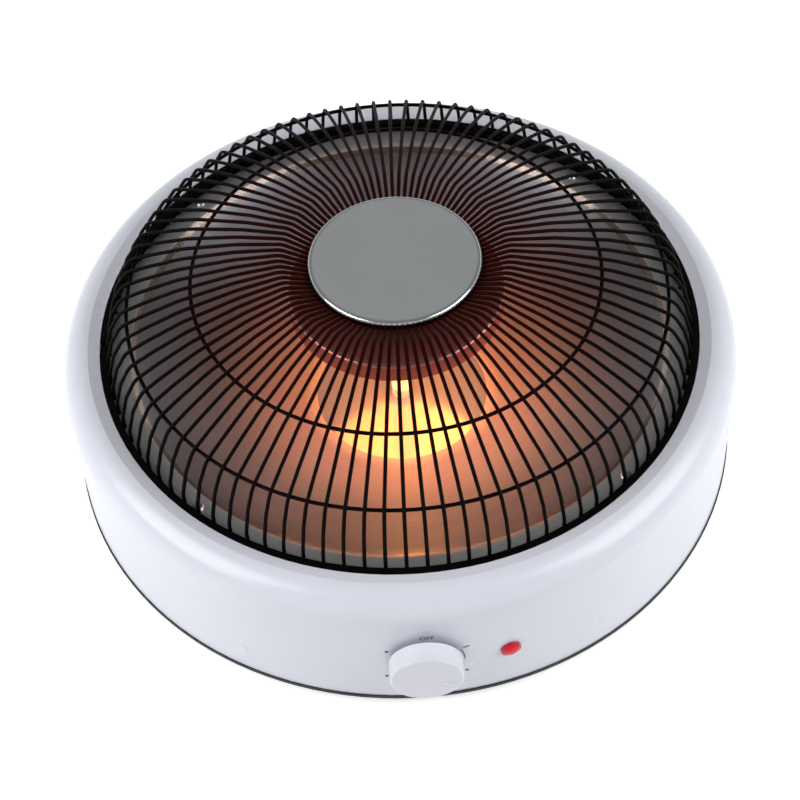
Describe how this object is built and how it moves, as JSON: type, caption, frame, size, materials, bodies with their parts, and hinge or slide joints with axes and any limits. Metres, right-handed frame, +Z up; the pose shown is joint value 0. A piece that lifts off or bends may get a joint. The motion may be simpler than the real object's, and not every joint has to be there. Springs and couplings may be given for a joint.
{
  "type": "electric brazier heater",
  "caption": "Round electric brazier: white ring housing, domed radial wire guard over a polished dish and a ceramic core with a flat coil, rotary knob and lamp in front.",
  "frame": {"origin": "on the vertical axis of the round body, at floor level under the feet", "axes": "+Z up, -Y towards the knob at the front, +Y towards the cord inlet at the back"},
  "size_m": [0.4355, 0.4632, 0.1669],
  "materials": {
    "base_grey": "satin dark grey paint",
    "screw_steel": "zinc plated",
    "inlet_plastic": "matt black",
    "ceramic": "matt fired ceramic",
    "foot_rubber": "matt",
    "guard_black": "baked black enamel",
    "deflector_steel": "heat-stained",
    "coil_alloy": "oxidised heating tube",
    "housing_white": "gloss white moulding",
    "cap_steel": "circular brushed",
    "knob_plastic": "gloss white moulding",
    "switch_plastic": "matt black",
    "lens_red": "clear red dome",
    "reflector_aluminium": "polished",
    "brass": "plain",
    "switch_shaft_plastic": "matt",
    "block_plastic": "matt"
  },
  "bodies": {
    "heater": {"base_plate": "base_grey", "base_screws": "screw_steel", "bush_nut": "screw_steel", "coil_terminals": "screw_steel", "cord_clamp": "inlet_plastic", "cord_inlet": "inlet_plastic", "core_mount_plate": "screw_steel", "core_nuts": "screw_steel", "core_rod": "screw_steel", "core_top_cap": "ceramic", "deflector_nut": "screw_steel", "deflector_spacer": "screw_steel", "dish_screws": "screw_steel", "foot_1": "foot_rubber", "foot_2": "foot_rubber", "foot_3": "foot_rubber", "foot_4": "foot_rubber", "foot_nuts": "screw_steel", "foot_screws": "screw_steel", "guard_ring_inner": "guard_black", "guard_ring_outer": "guard_black", "guard_ring_rim": "guard_black", "guard_wires": "guard_black", "heat_deflector": "deflector_steel", "heating_coil": "coil_alloy", "heating_core": "ceramic", "housing_shell": "housing_white", "hub_cap": "cap_steel", "hub_plate": "guard_black", "hub_stud": "screw_steel", "inlet_screws": "screw_steel", "lamp_body": "switch_plastic", "lamp_lens": "lens_red", "reflector_dish": "reflector_aluminium", "rim_band": "guard_black", "switch_blades": "brass", "switch_case": "switch_plastic", "switch_cover": "switch_plastic", "terminal_block": "block_plastic", "thermal_cutout": "switch_plastic"},
    "knob": {"knob": "knob_plastic", "switch_shaft": "switch_shaft_plastic"}
  },
  "joints": [
    {"name": "knob_turn", "type": "hinge", "parent": "heater", "child": "knob", "pos_m": [0, -0.22, 0.0515], "axis": [0, -1, 0], "range_deg": [-183, 117]}
  ]
}
